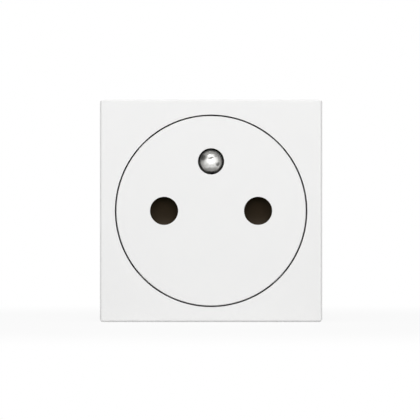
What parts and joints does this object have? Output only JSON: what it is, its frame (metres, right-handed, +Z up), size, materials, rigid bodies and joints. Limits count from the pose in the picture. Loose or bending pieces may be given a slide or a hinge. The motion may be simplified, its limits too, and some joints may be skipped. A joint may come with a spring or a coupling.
{
  "type": "power socket",
  "caption": "Square flush power socket insert for two round pins and earth, with a sprung disc that a plug pushes back, a safety shutter and push-in terminals.",
  "frame": {"origin": "centre of the disc's front face, midway between the two pin holes", "axes": "+X right as seen from the front, +Y back into the wall, +Z up towards the earth pin"},
  "size_m": [0.045, 0.04, 0.045],
  "materials": {
    "white_moulding": "satin white",
    "white_disc": "satin white",
    "dark_moulding": "fine matt grain",
    "shutter_brown": "matt",
    "spring_steel": "drawn wire",
    "contact_bronze": "rolled sheet",
    "plated_pin": "nickel plated",
    "strap_brass": "rolled sheet",
    "button_orange": "satin",
    "screw_steel": "zinc plated"
  },
  "bodies": {
    "socket": {"front_cover": "white_moulding", "housing": "dark_moulding", "contact_block": "dark_moulding", "line_contact": "contact_bronze", "neutral_contact": "contact_bronze", "line_contact_clip": "spring_steel", "neutral_contact_clip": "spring_steel", "earth_pin": "plated_pin", "earth_strap": "strap_brass", "line_clamp_spring": "spring_steel", "neutral_clamp_spring": "spring_steel", "earth_clamp_spring": "spring_steel", "return_spring_left": "spring_steel", "return_spring_right": "spring_steel", "rear_cover": "dark_moulding", "upper_screw": "screw_steel", "lower_screw": "screw_steel"},
    "disc": {"plug_disc": "white_disc", "shutter_holder": "dark_moulding", "shutter_spring": "spring_steel"},
    "shutter": {"safety_shutter": "shutter_brown"},
    "line_button": {"line_release_button": "button_orange"},
    "neutral_button": {"neutral_release_button": "button_orange"},
    "earth_button": {"earth_release_button": "button_orange"}
  },
  "joints": [
    {"name": "disc_slide", "type": "slide", "parent": "socket", "child": "disc", "axis": [0, 1, 0], "range_m": [0, 0.015], "stiffness_N_per_m": 500, "springref_m": -0.01, "deforming": ["return_spring_left", "return_spring_right"]},
    {"name": "shutter_slide", "type": "slide", "parent": "disc", "child": "shutter", "axis": [0, 0, -1], "range_m": [0, 0.0058], "stiffness_N_per_m": 150, "springref_m": -0.005, "deforming": ["shutter_spring"]},
    {"name": "line_release", "type": "slide", "parent": "socket", "child": "line_button", "axis": [0, -1, 0], "range_m": [0, 0.0016], "stiffness_N_per_m": 1500, "springref_m": -0.0008, "deforming": ["line_clamp_spring"]},
    {"name": "neutral_release", "type": "slide", "parent": "socket", "child": "neutral_button", "axis": [0, -1, 0], "range_m": [0, 0.0016], "stiffness_N_per_m": 1500, "springref_m": -0.0008, "deforming": ["neutral_clamp_spring"]},
    {"name": "earth_release", "type": "slide", "parent": "socket", "child": "earth_button", "axis": [0, -1, 0], "range_m": [0, 0.0016], "stiffness_N_per_m": 1500, "springref_m": -0.0008, "deforming": ["earth_clamp_spring"]}
  ]
}
